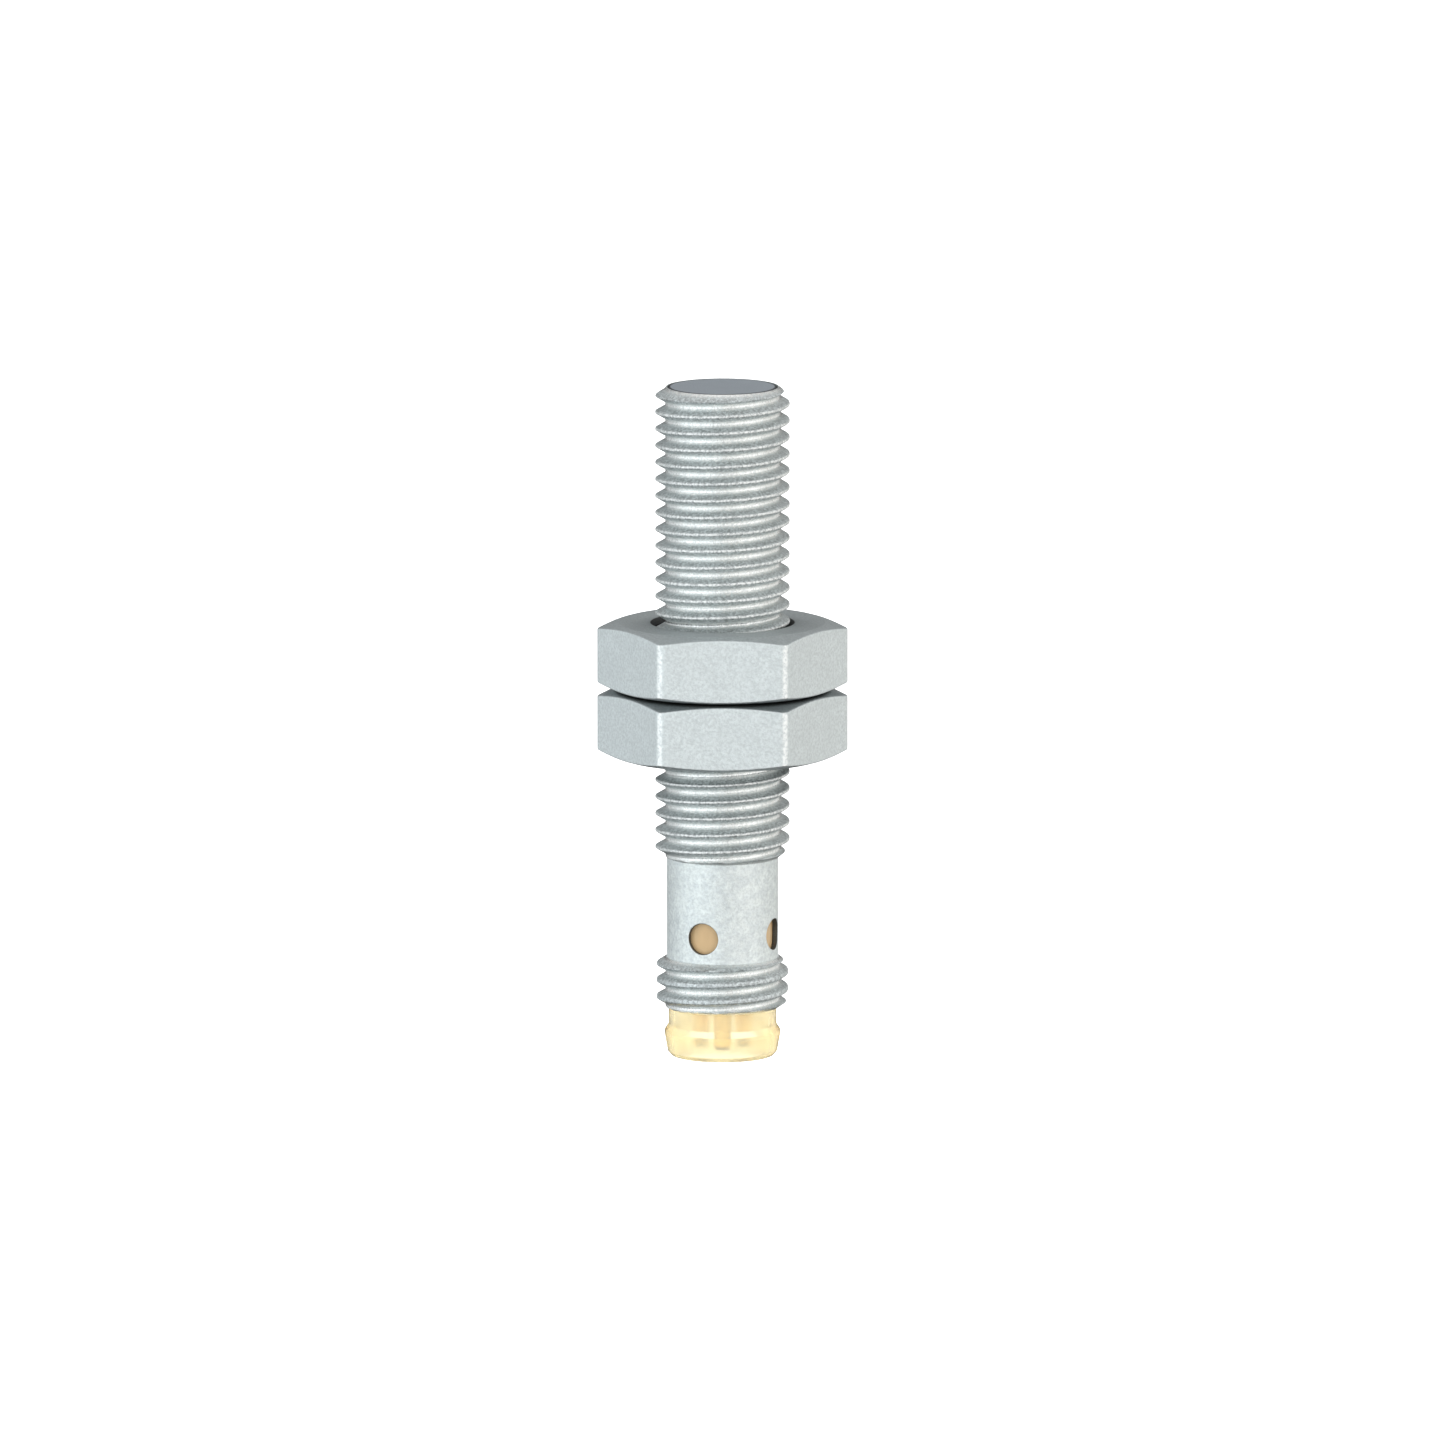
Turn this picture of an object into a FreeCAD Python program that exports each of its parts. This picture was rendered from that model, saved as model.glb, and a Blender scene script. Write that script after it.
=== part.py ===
import FreeCAD, Part
import math
import os

from FreeCAD import Vector

# Inductive proximity sensor in an M8 x 1 threaded sleeve, with two hexagon lock nuts and an M8
# plug connector. Millimetres. The origin is the centre of the sensing face and +Z points out of
# it, towards the target, so the body lies below z = 0. One flat of each nut faces -Y. An azimuth
# is counted from -Y, growing towards +X.

# Overall lengths, as distances behind the sensing face
TOTAL_LENGTH = 40.0
MAIN_THREAD_END = 28.1
REAR_THREAD_START = 34.1
SLEEVE_END = 37.1

# M8 x 1 thread: a 60 degree profile cut from the crest cylinder
PITCH = 1.0
CREST_RADIUS = 3.985
ROOT_RADIUS = 3.387
FLANK = math.tan(math.radians(30))
ROOT_HALF_WIDTH = PITCH / 12
REAR_CREST_RADIUS = 3.9
END_CHAMFER_LENGTH = 0.5
REAR_CHAMFER_LENGTH = 0.35
THREAD_END_RADIUS = 3.35

# Sleeve
BORE_RADIUS = 3.0
PLAIN_RADIUS = 3.3
CAP_SEAT_RADIUS = 3.28
CAP_SEAT_DEPTH = 0.62
WINDOW_RADIUS = 0.925
WINDOW_DEPTH = 32.6
WINDOW_AZIMUTHS = [-21.1, 68.9, 158.9, 248.9]

# Lock nuts
ACROSS_FLATS = 13.0
NUT_THICKNESS = 3.98
NUT_JOINT_DEPTH = 18.075
NUT_GAP = 0.05
CORNER_RADIUS = 0.6
FACE_CIRCLE_RADIUS = 6.1
FACE_SLOPE = math.tan(math.radians(16))
COUNTERSINK_RADIUS = 4.3
NUT_MINOR_RADIUS = 3.459
NUT_MAJOR_RADIUS = 4.04
FLANK_CLEARANCE = 0.058

# Sensing cap: a cup whose flange closes the front of the sleeve
CAP_RADIUS = 3.19
CAP_FLANGE = 0.6
CAP_BODY_RADIUS = 2.95
CAP_CAVITY_RADIUS = 2.7
CAP_LENGTH = 6.5

# Pot core, its coil and the screening ring around them
GLUE_GAP = 0.05
CORE_RADIUS = 2.5
CORE_HEIGHT = 2.4
CORE_POST_RADIUS = 1.0
CORE_SLOT_RADIUS = 2.05
CORE_FLOOR = 0.7
BOBBIN_CLEARANCE = 0.05
BOBBIN_WALL = 0.15
WINDING_RADIUS = 1.9
WIRE_RADIUS = 0.08
LEAD_HOLE_RADIUS = 0.15
LEAD_X = 1.5
LEAD_END = 4.9
RING_RADIUS = 2.66
RING_WALL = 0.11
RING_HEIGHT = 2.6

# Circuit board, standing in the plane y = 0
BOARD_THICKNESS = 0.8
BOARD_WIDTH = 4.8
BOARD_START = 3.6
BOARD_SHOULDER = 30.9
TONGUE_WIDTH = 3.6
BOARD_END = 33.6
FIT_GAP = 0.02
WIRE_HOLE_GAP = 0.04

# Connector insert, which is also the light guide behind the four windows
INSERT_START = 31.2
INSERT_RADIUS = 2.96
GUIDE_RADIUS = 2.3
GUIDE_END = 33.9
SOCKET_FLOOR = 36.0
SOCKET_RADIUS = 2.65
NECK_RADIUS = 3.2
NECK_END = 38.15
BEAD_START = 38.5
BEAD_END = 38.7
BEAD_RADIUS = 3.43
NOSE_START = 39.75
NOSE_RADIUS = 3.24
NOSE_CHAMFER = 0.22
KEY_WIDTH = 0.8
KEY_HEIGHT = 0.6

# Contact pins, named by their numbers in the plug
PIN_CIRCLE_RADIUS = 1.5
PIN_AZIMUTHS = {"1": 120.0, "3": 240.0, "4": 0.0}
PIN_RADIUS = 0.5
PIN_SHANK_RADIUS = 0.7
PIN_END = 39.35
PIN_TIP = 0.3
PIN_TIP_RADIUS = 0.22
TAIL_RADIUS = 0.25
TAIL_START = 33.0
TAIL_SHIFT = 0.38

# Solder fillets, wrapped round a wire or a pin's tail: width along X, length along Z, and how far
# they stand over the wire
SOLDER_WIDTH = 0.7
SOLDER_LENGTH = 0.5
SOLDER_COVER = 0.1
LEAD_SOLDER_START = 4.4
TAIL_SOLDER_START = 33.05

# Potting compound
POTTING_RADIUS = 2.97
POTTING_CUP_RADIUS = 2.67
POTTING_START = 3.4
POTTING_END = 31.15

# Parts on the board: width along X, length along Z, height off the board
CHIP_SIZE = (3.0, 3.0, 0.9)
TRANSISTOR_SIZE = (1.3, 2.9, 1.0)
DIODE_SIZE = (1.6, 2.7, 1.1)
PASSIVE_SIZE = (0.6, 1.1, 0.5)
LED_SIZE = (0.6, 0.6, 0.45)
LEG_SIZE = (0.45, 0.4, 0.15)

# Where the parts lie: the side of the board, their x, and their depth behind the sensing face
FRONT, BACK = -1, 1
CHIP_DEPTH = 9.0
CHIP_LEG_ROWS = 4
CHIP_LEG_PITCH = 0.7
TRANSISTOR_DEPTH = 26.0
TRANSISTOR_LEG_PITCH = 0.95
DIODE_DEPTH = 21.0
CAPACITOR_PLACES = [(FRONT, x, depth) for x in (-1.2, 1.2) for depth in (12.8, 15.6)]
CAPACITOR_PLACES += [(BACK, 0.0, depth) for depth in (8.0, 11.0)]
RESISTOR_PLACES = [(FRONT, x, depth) for x in (-1.2, 0.0, 1.2) for depth in (20.0, 23.0)]
RESISTOR_PLACES += [(BACK, x, 15.0) for x in (-1.0, 1.0)]
LED_PLACES = [(side, x, WINDOW_DEPTH) for side in (FRONT, BACK) for x in (-1.05, 1.05)]


def turned(outline):
    """A solid of revolution about Z from (radius, z) corners."""
    corners = [Vector(radius, 0, z) for radius, z in outline]
    face = Part.Face(Part.makePolygon(corners + corners[:1]))
    return face.revolve(Vector(0, 0, 0), Vector(0, 0, 1), 360)


def rod(radius, start, end, x=0.0, y=0.0):
    """A cylinder along Z between two depths behind the sensing face."""
    return Part.makeCylinder(radius, end - start, Vector(x, y, -end))


def ring(outer, inner, start, end):
    return rod(outer, start, end).cut(rod(inner, start, end))


def around(azimuth, radius):
    """The x and y of a point at an azimuth and radius."""
    angle = math.radians(azimuth)
    return radius * math.sin(angle), -radius * math.cos(angle)


def cut_thread(blank, profile, first_z, last_z):
    """Cut a right-hand groove of (radius, half width) corners, one turn at a time from first_z up."""
    lower = [Vector(radius, 0, -half) for radius, half in profile]
    upper = [Vector(radius, 0, half) for radius, half in reversed(profile)]
    section = Part.makePolygon(lower + upper + lower[:1])
    path = Part.Wire(Part.makeHelix(PITCH, PITCH, profile[0][0]).Edges)
    turn = path.makePipeShell([section], True, True)
    turn.translate(Vector(0, 0, first_z))
    for _ in range(round((last_z - first_z) / PITCH)):
        blank = blank.cut(turn)
        turn.translate(Vector(0, 0, PITCH))
    return blank


def make_sleeve():
    blank = turned([
        (BORE_RADIUS, -CAP_SEAT_DEPTH),
        (CAP_SEAT_RADIUS, -CAP_SEAT_DEPTH),
        (CAP_SEAT_RADIUS, 0),
        (THREAD_END_RADIUS, 0),
        (CREST_RADIUS, -END_CHAMFER_LENGTH),
        (CREST_RADIUS, END_CHAMFER_LENGTH - MAIN_THREAD_END),
        (THREAD_END_RADIUS, -MAIN_THREAD_END),
        (PLAIN_RADIUS, -MAIN_THREAD_END),
        (PLAIN_RADIUS, -REAR_THREAD_START),
        (THREAD_END_RADIUS, -REAR_THREAD_START),
        (REAR_CREST_RADIUS, -REAR_THREAD_START - REAR_CHAMFER_LENGTH),
        (REAR_CREST_RADIUS, REAR_CHAMFER_LENGTH - SLEEVE_END),
        (THREAD_END_RADIUS, -SLEEVE_END),
        (BORE_RADIUS, -SLEEVE_END),
    ])
    open_radius = CREST_RADIUS + 0.1
    open_half = ROOT_HALF_WIDTH + (open_radius - ROOT_RADIUS) * FLANK
    profile = [(ROOT_RADIUS, ROOT_HALF_WIDTH), (open_radius, open_half)]
    sleeve = blank
    for start, end in [(0, MAIN_THREAD_END), (REAR_THREAD_START, SLEEVE_END)]:
        first_z = -math.ceil(end) - PITCH / 2
        last_z = PITCH / 2 - math.floor(start)
        sleeve = cut_thread(sleeve, profile, first_z, last_z)
    for azimuth in WINDOW_AZIMUTHS:
        x, y = around(azimuth, 1.0)
        drill = Part.makeCylinder(WINDOW_RADIUS, 2 * PLAIN_RADIUS,
                                  Vector(0, 0, -WINDOW_DEPTH), Vector(x, y, 0))
        sleeve = sleeve.cut(drill)
    return sleeve


def make_nut(face_depth):
    """A lock nut whose upper face lies at face_depth, threaded in step with the sleeve."""
    bottom = -face_depth - NUT_THICKNESS
    side = ACROSS_FLATS / math.sqrt(3)
    turns = [math.radians(60 * i) for i in range(6)]
    corners = [Vector(side * math.cos(turn), side * math.sin(turn), bottom) for turn in turns]
    prism = Part.Face(Part.makePolygon(corners + corners[:1])).extrude(Vector(0, 0, NUT_THICKNESS))
    upright = [edge for edge in prism.Edges if edge.BoundBox.ZLength > NUT_THICKNESS / 2]
    nut = prism.makeFillet(CORNER_RADIUS, upright)
    drop = (side - FACE_CIRCLE_RADIUS) * FACE_SLOPE
    nut = nut.common(turned([
        (0, bottom),
        (FACE_CIRCLE_RADIUS, bottom),
        (side, bottom + drop),
        (side, -face_depth - drop),
        (FACE_CIRCLE_RADIUS, -face_depth),
        (0, -face_depth),
    ]))
    sink = COUNTERSINK_RADIUS - NUT_MINOR_RADIUS
    nut = nut.cut(turned([
        (0, bottom),
        (COUNTERSINK_RADIUS, bottom),
        (NUT_MINOR_RADIUS, bottom + sink),
        (NUT_MINOR_RADIUS, -face_depth - sink),
        (COUNTERSINK_RADIUS, -face_depth),
        (0, -face_depth),
    ]))
    ridge_half = ROOT_HALF_WIDTH + (NUT_MINOR_RADIUS - ROOT_RADIUS) * FLANK - FLANK_CLEARANCE
    minor_half = PITCH / 2 - ridge_half
    inner_radius = NUT_MINOR_RADIUS - FLANK_CLEARANCE
    inner_half = minor_half + FLANK_CLEARANCE * FLANK
    major_half = minor_half - (NUT_MAJOR_RADIUS - NUT_MINOR_RADIUS) * FLANK
    profile = [(inner_radius, inner_half), (NUT_MAJOR_RADIUS, major_half)]
    first_z = math.floor(bottom) - PITCH
    last_z = math.ceil(-face_depth) + PITCH
    return cut_thread(nut, profile, first_z, last_z)


def make_cap():
    flange = rod(CAP_RADIUS, 0, CAP_FLANGE)
    body = ring(CAP_BODY_RADIUS, CAP_CAVITY_RADIUS, CAP_FLANGE, CAP_LENGTH)
    return flange.fuse(body).removeSplitter()


CORE_START = CAP_FLANGE + GLUE_GAP
CORE_END = CORE_START + CORE_HEIGHT
SLOT_END = CORE_END - CORE_FLOOR
LEAD_Y = FRONT * (BOARD_THICKNESS / 2 + FIT_GAP + WIRE_RADIUS)


def lead_rods(radius, start, end):
    """Both coil leads, or the holes for them, beside the front of the board."""
    return [rod(radius, start, end, x, LEAD_Y) for x in (-LEAD_X, LEAD_X)]


def make_core():
    core = rod(CORE_RADIUS, CORE_START, CORE_END)
    core = core.cut(ring(CORE_SLOT_RADIUS, CORE_POST_RADIUS, CORE_START, SLOT_END))
    return core.cut(lead_rods(LEAD_HOLE_RADIUS, SLOT_END, CORE_END))


BOBBIN_START = CORE_START + BOBBIN_CLEARANCE
BOBBIN_END = SLOT_END - BOBBIN_CLEARANCE
BOBBIN_RADIUS = CORE_SLOT_RADIUS - BOBBIN_CLEARANCE
HUB_INNER_RADIUS = CORE_POST_RADIUS + BOBBIN_CLEARANCE
HUB_RADIUS = HUB_INNER_RADIUS + BOBBIN_WALL


def make_bobbin():
    hub = ring(HUB_RADIUS, HUB_INNER_RADIUS, BOBBIN_START, BOBBIN_END)
    upper = ring(BOBBIN_RADIUS, HUB_INNER_RADIUS, BOBBIN_START, BOBBIN_START + BOBBIN_WALL)
    lower = ring(BOBBIN_RADIUS, HUB_INNER_RADIUS, BOBBIN_END - BOBBIN_WALL, BOBBIN_END)
    return hub.fuse([upper, lower]).removeSplitter()


def make_winding():
    return ring(WINDING_RADIUS, HUB_RADIUS + FIT_GAP, BOBBIN_START + BOBBIN_WALL,
                BOBBIN_END - BOBBIN_WALL)


def make_leads():
    return Part.makeCompound(lead_rods(WIRE_RADIUS, BOBBIN_END, LEAD_END))


def make_screen():
    return ring(RING_RADIUS, RING_RADIUS - RING_WALL, CORE_START, CORE_START + RING_HEIGHT)


def make_board():
    half = BOARD_THICKNESS / 2
    main = Part.makeBox(BOARD_WIDTH, BOARD_THICKNESS, BOARD_SHOULDER - BOARD_START,
                        Vector(-BOARD_WIDTH / 2, -half, -BOARD_SHOULDER))
    tongue = Part.makeBox(TONGUE_WIDTH, BOARD_THICKNESS, BOARD_END - BOARD_SHOULDER,
                          Vector(-TONGUE_WIDTH / 2, -half, -BOARD_END))
    return main.fuse(tongue).removeSplitter()


def on_board(size, side, x, depth):
    """A box lying on one side of the board, centred at x and depth."""
    width, length, height = size
    low_y = BOARD_THICKNESS / 2 if side == BACK else -BOARD_THICKNESS / 2 - height
    return Part.makeBox(width, height, length, Vector(x - width / 2, low_y, -depth - length / 2))


def row_on_board(size, places):
    return Part.makeCompound([on_board(size, *place) for place in places])


def make_chip():
    """The oscillator chip, with a row of legs down each side."""
    body = on_board(CHIP_SIZE, FRONT, 0, CHIP_DEPTH)
    reach = CHIP_SIZE[0] / 2 + LEG_SIZE[0] / 2
    first = CHIP_DEPTH - CHIP_LEG_PITCH * (CHIP_LEG_ROWS - 1) / 2
    legs = [on_board(LEG_SIZE, FRONT, x, first + CHIP_LEG_PITCH * row)
            for x in (-reach, reach) for row in range(CHIP_LEG_ROWS)]
    return body.fuse(legs).removeSplitter()


def make_transistor():
    """The output transistor, with two legs on one side and one on the other."""
    body = on_board(TRANSISTOR_SIZE, BACK, 0, TRANSISTOR_DEPTH)
    reach = TRANSISTOR_SIZE[0] / 2 + LEG_SIZE[0] / 2
    places = [(-reach, -TRANSISTOR_LEG_PITCH), (-reach, TRANSISTOR_LEG_PITCH), (reach, 0)]
    legs = [on_board(LEG_SIZE, BACK, x, TRANSISTOR_DEPTH + shift) for x, shift in places]
    return body.fuse(legs).removeSplitter()


def tail_centre(azimuth):
    """Where a pin's soldered tail stands: shifted from the pin's axis towards the board."""
    x, y = around(azimuth, PIN_CIRCLE_RADIUS)
    clear = BOARD_THICKNESS / 2 + FIT_GAP + TAIL_RADIUS
    return x, math.copysign(max(abs(y) - TAIL_SHIFT, clear), y)


def make_pin(azimuth):
    x, y = around(azimuth, PIN_CIRCLE_RADIUS)
    tail_x, tail_y = tail_centre(azimuth)
    shank = rod(PIN_SHANK_RADIUS, GUIDE_END, SOCKET_FLOOR, x, y)
    blade = rod(PIN_RADIUS, SOCKET_FLOOR, PIN_END - PIN_TIP, x, y)
    tip = Part.makeCone(PIN_TIP_RADIUS, PIN_RADIUS, PIN_TIP, Vector(x, y, -PIN_END))
    tail = rod(TAIL_RADIUS, TAIL_START, GUIDE_END, tail_x, tail_y)
    return shank.fuse([blade, tip, tail])


def make_insert():
    shell = turned([
        (0, -GUIDE_END),
        (GUIDE_RADIUS, -GUIDE_END),
        (GUIDE_RADIUS, -INSERT_START),
        (INSERT_RADIUS, -INSERT_START),
        (INSERT_RADIUS, -SLEEVE_END),
        (NECK_RADIUS, -SLEEVE_END),
        (NECK_RADIUS, -NECK_END),
        (BEAD_RADIUS, -BEAD_START),
        (BEAD_RADIUS, -BEAD_END),
        (NOSE_RADIUS, -NOSE_START),
        (NOSE_RADIUS - NOSE_CHAMFER, -TOTAL_LENGTH),
        (SOCKET_RADIUS, -TOTAL_LENGTH),
        (SOCKET_RADIUS, -SOCKET_FLOOR),
        (0, -SOCKET_FLOOR),
    ])
    key = Part.makeBox(KEY_WIDTH, SOCKET_RADIUS, NECK_END - SOCKET_FLOOR,
                       Vector(-KEY_WIDTH / 2, SOCKET_RADIUS - KEY_HEIGHT, -NECK_END))
    shell = shell.fuse(key.common(rod(INSERT_RADIUS - FIT_GAP, SOCKET_FLOOR, NECK_END)))
    for azimuth in PIN_AZIMUTHS.values():
        x, y = around(azimuth, PIN_CIRCLE_RADIUS)
        shell = shell.cut(rod(PIN_SHANK_RADIUS + FIT_GAP, GUIDE_END, SOCKET_FLOOR, x, y))
    return shell.removeSplitter()


def fillet_around(x, y, radius, start):
    """A solder block on the board, bored for the wire that it wraps."""
    height = abs(y) - BOARD_THICKNESS / 2 + radius + SOLDER_COVER
    side = FRONT if y < 0 else BACK
    block = on_board((SOLDER_WIDTH, SOLDER_LENGTH, height), side, x, start + SOLDER_LENGTH / 2)
    return block.cut(rod(radius + WIRE_HOLE_GAP, 0, TOTAL_LENGTH, x, y))


def make_solder():
    """Fillets that join both coil leads and the three pin tails to the board."""
    fillets = [fillet_around(x, LEAD_Y, WIRE_RADIUS, LEAD_SOLDER_START) for x in (-LEAD_X, LEAD_X)]
    for azimuth in PIN_AZIMUTHS.values():
        x, y = tail_centre(azimuth)
        fillets.append(fillet_around(x, y, TAIL_RADIUS, TAIL_SOLDER_START))
    return Part.makeCompound([solid for fillet in fillets for solid in fillet.Solids])


def make_potting(buried):
    """Compound that fills the sleeve and the cap's cup around the buried pieces."""
    fill = rod(POTTING_RADIUS, CAP_LENGTH + GLUE_GAP, POTTING_END)
    fill = fill.fuse(rod(POTTING_CUP_RADIUS, POTTING_START, CAP_LENGTH + GLUE_GAP))
    fill = fill.cut(lead_rods(WIRE_RADIUS + WIRE_HOLE_GAP, 0, LEAD_END + FIT_GAP))
    for piece in buried:
        fill = fill.cut(piece)
    return fill.removeSplitter()


def main():
    upper_face = NUT_JOINT_DEPTH - NUT_GAP / 2 - NUT_THICKNESS
    parts = {
        "threaded_sleeve": make_sleeve(),
        "front_lock_nut": make_nut(upper_face),
        "rear_lock_nut": make_nut(NUT_JOINT_DEPTH + NUT_GAP / 2),
        "sensing_cap": make_cap(),
        "ferrite_core": make_core(),
        "coil_bobbin": make_bobbin(),
        "coil_winding": make_winding(),
        "coil_leads": make_leads(),
        "shield_ring": make_screen(),
        "circuit_board": make_board(),
        "oscillator_chip": make_chip(),
        "output_transistor": make_transistor(),
        "protection_diode": on_board(DIODE_SIZE, BACK, 0, DIODE_DEPTH),
        "chip_capacitors": row_on_board(PASSIVE_SIZE, CAPACITOR_PLACES),
        "chip_resistors": row_on_board(PASSIVE_SIZE, RESISTOR_PLACES),
        "status_leds": row_on_board(LED_SIZE, LED_PLACES),
        "connector_insert": make_insert(),
        "solder_joints": make_solder(),
    }
    for number, azimuth in PIN_AZIMUTHS.items():
        parts["contact_pin_" + number] = make_pin(azimuth)
    buried = ["circuit_board", "oscillator_chip", "output_transistor", "protection_diode",
              "chip_capacitors", "chip_resistors", "solder_joints"]
    parts["potting_compound"] = make_potting([parts[name] for name in buried])

    os.makedirs("parts", exist_ok=True)
    for name, shape in parts.items():
        shape.exportStep("parts/" + name + ".step")
        print(name, len(shape.Solids), round(shape.Volume, 3), shape.isValid())


main()
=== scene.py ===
"""Finished look of a threaded M8 proximity sensor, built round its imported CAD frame.

Lengths are metres, in the frame's own axes: the sensing face is at z = 0 and +Z points out of it.
"""

import math

import bmesh
import bpy
import numpy as np
from bpy.props import FloatProperty, FloatVectorProperty, IntProperty, PointerProperty
from bpy.types import Operator, Panel, PropertyGroup
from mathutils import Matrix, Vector


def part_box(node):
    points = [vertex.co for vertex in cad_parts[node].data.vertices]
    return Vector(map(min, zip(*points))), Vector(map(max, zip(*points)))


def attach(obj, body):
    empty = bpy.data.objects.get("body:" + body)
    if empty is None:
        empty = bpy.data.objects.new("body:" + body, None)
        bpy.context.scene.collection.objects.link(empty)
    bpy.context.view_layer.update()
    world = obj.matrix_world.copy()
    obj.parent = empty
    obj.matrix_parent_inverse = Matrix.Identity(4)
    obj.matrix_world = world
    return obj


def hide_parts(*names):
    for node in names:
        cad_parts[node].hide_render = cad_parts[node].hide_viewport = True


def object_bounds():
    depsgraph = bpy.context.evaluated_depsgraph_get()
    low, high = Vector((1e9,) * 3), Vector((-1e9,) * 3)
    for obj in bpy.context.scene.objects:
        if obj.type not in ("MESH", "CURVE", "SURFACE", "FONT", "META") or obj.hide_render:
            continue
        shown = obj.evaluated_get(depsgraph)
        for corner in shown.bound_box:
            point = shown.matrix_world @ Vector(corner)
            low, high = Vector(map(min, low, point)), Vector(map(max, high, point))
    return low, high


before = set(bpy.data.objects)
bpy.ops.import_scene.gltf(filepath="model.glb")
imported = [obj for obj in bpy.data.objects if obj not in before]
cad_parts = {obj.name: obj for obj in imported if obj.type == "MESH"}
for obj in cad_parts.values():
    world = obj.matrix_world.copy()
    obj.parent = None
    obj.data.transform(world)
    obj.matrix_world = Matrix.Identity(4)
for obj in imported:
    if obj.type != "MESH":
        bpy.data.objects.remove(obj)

bl_info = {
    "name": "Proximity sensor",
    "version": (1, 0, 0),
    "blender": (4, 5, 0),
    "location": "View3D > Sidebar > Sensor",
    "description": "Builds the finished look of a threaded proximity sensor",
    "category": "Object",
}

CAD_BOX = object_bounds()
SLEEVE_LOW, SLEEVE_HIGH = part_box("threaded_sleeve")
INSERT_LOW, INSERT_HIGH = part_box("connector_insert")
CAP_LOW, CAP_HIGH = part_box("sensing_cap")
NUT_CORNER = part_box("front_lock_nut")[1].x
FIXED_BODY = "sensor"
NUT_NODES = {"front_lock_nut": "front_nut", "rear_lock_nut": "rear_nut"}
PIN_NODES = ["contact_pin_1", "contact_pin_3", "contact_pin_4"]

MM = 0.001
COLUMNS = 96
QUARTER = COLUMNS // 4
MERGE = 0.0002 * MM
FLANK = math.tan(math.radians(30))
COOL = (0.95, 1.0, 1.03)
WHITE = (1.0, 1.0, 0.995)
WARM = (1.0, 0.995, 0.97)


def length(name, millimetres, description=""):
    """A length property, given in millimetres and kept in metres."""
    return FloatProperty(name=name, description=description or name, default=millimetres * MM,
                         min=0.0, unit="LENGTH", precision=5)


def colour(name, red, green, blue):
    return FloatVectorProperty(name=name, description=name, default=(red, green, blue), size=3,
                               min=0.0, max=1.0, subtype="COLOR")


class SleeveSizes(PropertyGroup):
    pitch: length("Pitch", 1.0, "Rise of the thread in one turn")
    crest: length("Crest radius", SLEEVE_HIGH.x / MM)
    root: length("Root radius", 3.387)
    crest_width: length("Crest width", 0.14, "Flat on the crest before it is rounded")
    rounding: length("Thread rounding", 0.07, "Softness of the crests and roots")
    end_radius: length("Thread end radius", 3.35)
    front_chamfer: length("Front chamfer", 0.5)
    main_end: length("Main thread end", 28.1, "Distance behind the sensing face")
    plain_radius: length("Plain radius", 3.3)
    rear_start: length("Rear thread start", 34.1, "Distance behind the sensing face")
    rear_crest: length("Rear crest radius", 3.9)
    rear_chamfer: length("Rear chamfer", 0.35)
    bore: length("Bore radius", 3.0)
    seat: length("Cap seat radius", 3.28)
    seat_depth: length("Cap seat depth", 0.62)
    window: length("Window radius", 0.925)
    window_depth: length("Window depth", 32.6, "Distance behind the sensing face")
    window_edge: length("Window edge rounding", 0.07)
    window_band: length("Window band", 2.8, "Height of the stretch that holds the windows")
    window_azimuth: FloatProperty(name="Window azimuth", description="Turn of the first window",
                                  default=math.radians(-21.1), subtype="ANGLE")
    rows_per_pitch: IntProperty(name="Rows per pitch", description="Mesh rows in each pitch",
                                default=20, min=8, max=40)


class NutSizes(PropertyGroup):
    corner: length("Corner rounding", 0.6)
    face_circle: length("Face circle radius", 6.1, "Where the chamfer cuts the flat face")
    face_slope: FloatProperty(name="Face slope", description="Slope of the faces' chamfers",
                              default=math.radians(16), subtype="ANGLE")
    face_edge: length("Face edge rounding", 0.12)
    side_edge: length("Side edge rounding", 0.1)
    sink: length("Countersink radius", 4.3)
    minor: length("Minor radius", 3.459)
    major: length("Major radius", 4.04)
    major_width: length("Groove width at the major radius", 0.19)
    rows_per_pitch: IntProperty(name="Rows per pitch", description="Mesh rows in each pitch",
                                default=16, min=8, max=40)


class CapSizes(PropertyGroup):
    flange: length("Flange thickness", 0.6)
    rim: length("Rim rounding", 0.06)
    body: length("Body radius", 2.95)
    cavity: length("Cavity radius", 2.7)


class InsertSizes(PropertyGroup):
    barrel: length("Barrel radius", 2.96)
    guide: length("Light guide radius", 2.3)
    guide_end: length("Light guide end", 33.9, "Distance behind the sensing face")
    floor: length("Socket floor", 36.0, "Distance behind the sensing face")
    socket: length("Socket radius", 2.65)
    neck: length("Neck radius", 3.2)
    neck_end: length("Neck end", 38.15, "Distance behind the sensing face")
    bead_start: length("Bead start", 38.5, "Distance behind the sensing face")
    bead_end: length("Bead end", 38.7, "Distance behind the sensing face")
    nose: length("Nose radius", 3.24)
    nose_start: length("Nose rounding start", 39.75, "Distance behind the sensing face")
    key_width: length("Key width", 0.8)
    key_height: length("Key height", 0.6)


class PinSizes(PropertyGroup):
    blade: length("Blade radius", 0.5)
    shank: length("Shank radius", 0.7)
    tail: length("Tail radius", 0.25)
    tail_shift: length("Tail shift", 0.38, "How far the tail stands from the pin's axis")
    tail_clear: length("Tail clearance", 0.67, "Least distance of a tail from the middle plane")


class Finishes(PropertyGroup):
    plating: colour("Plating", 0.72, 0.765, 0.765)
    # Colour of the painted highlight on the thread roots and crests and on the nuts' upright
    # corners.
    painted_highlight: colour("Highlighted thread roots", 0.95, 0.96, 0.94)
    cap: colour("Cap plastic", 0.31, 0.345, 0.38)
    amber: colour("Amber plastic", 1.0, 0.975, 0.84)
    milky_amber: colour("Milky amber plastic", 0.80, 0.56, 0.30)
    gold: colour("Contact gold", 0.90, 0.66, 0.27)


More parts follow.
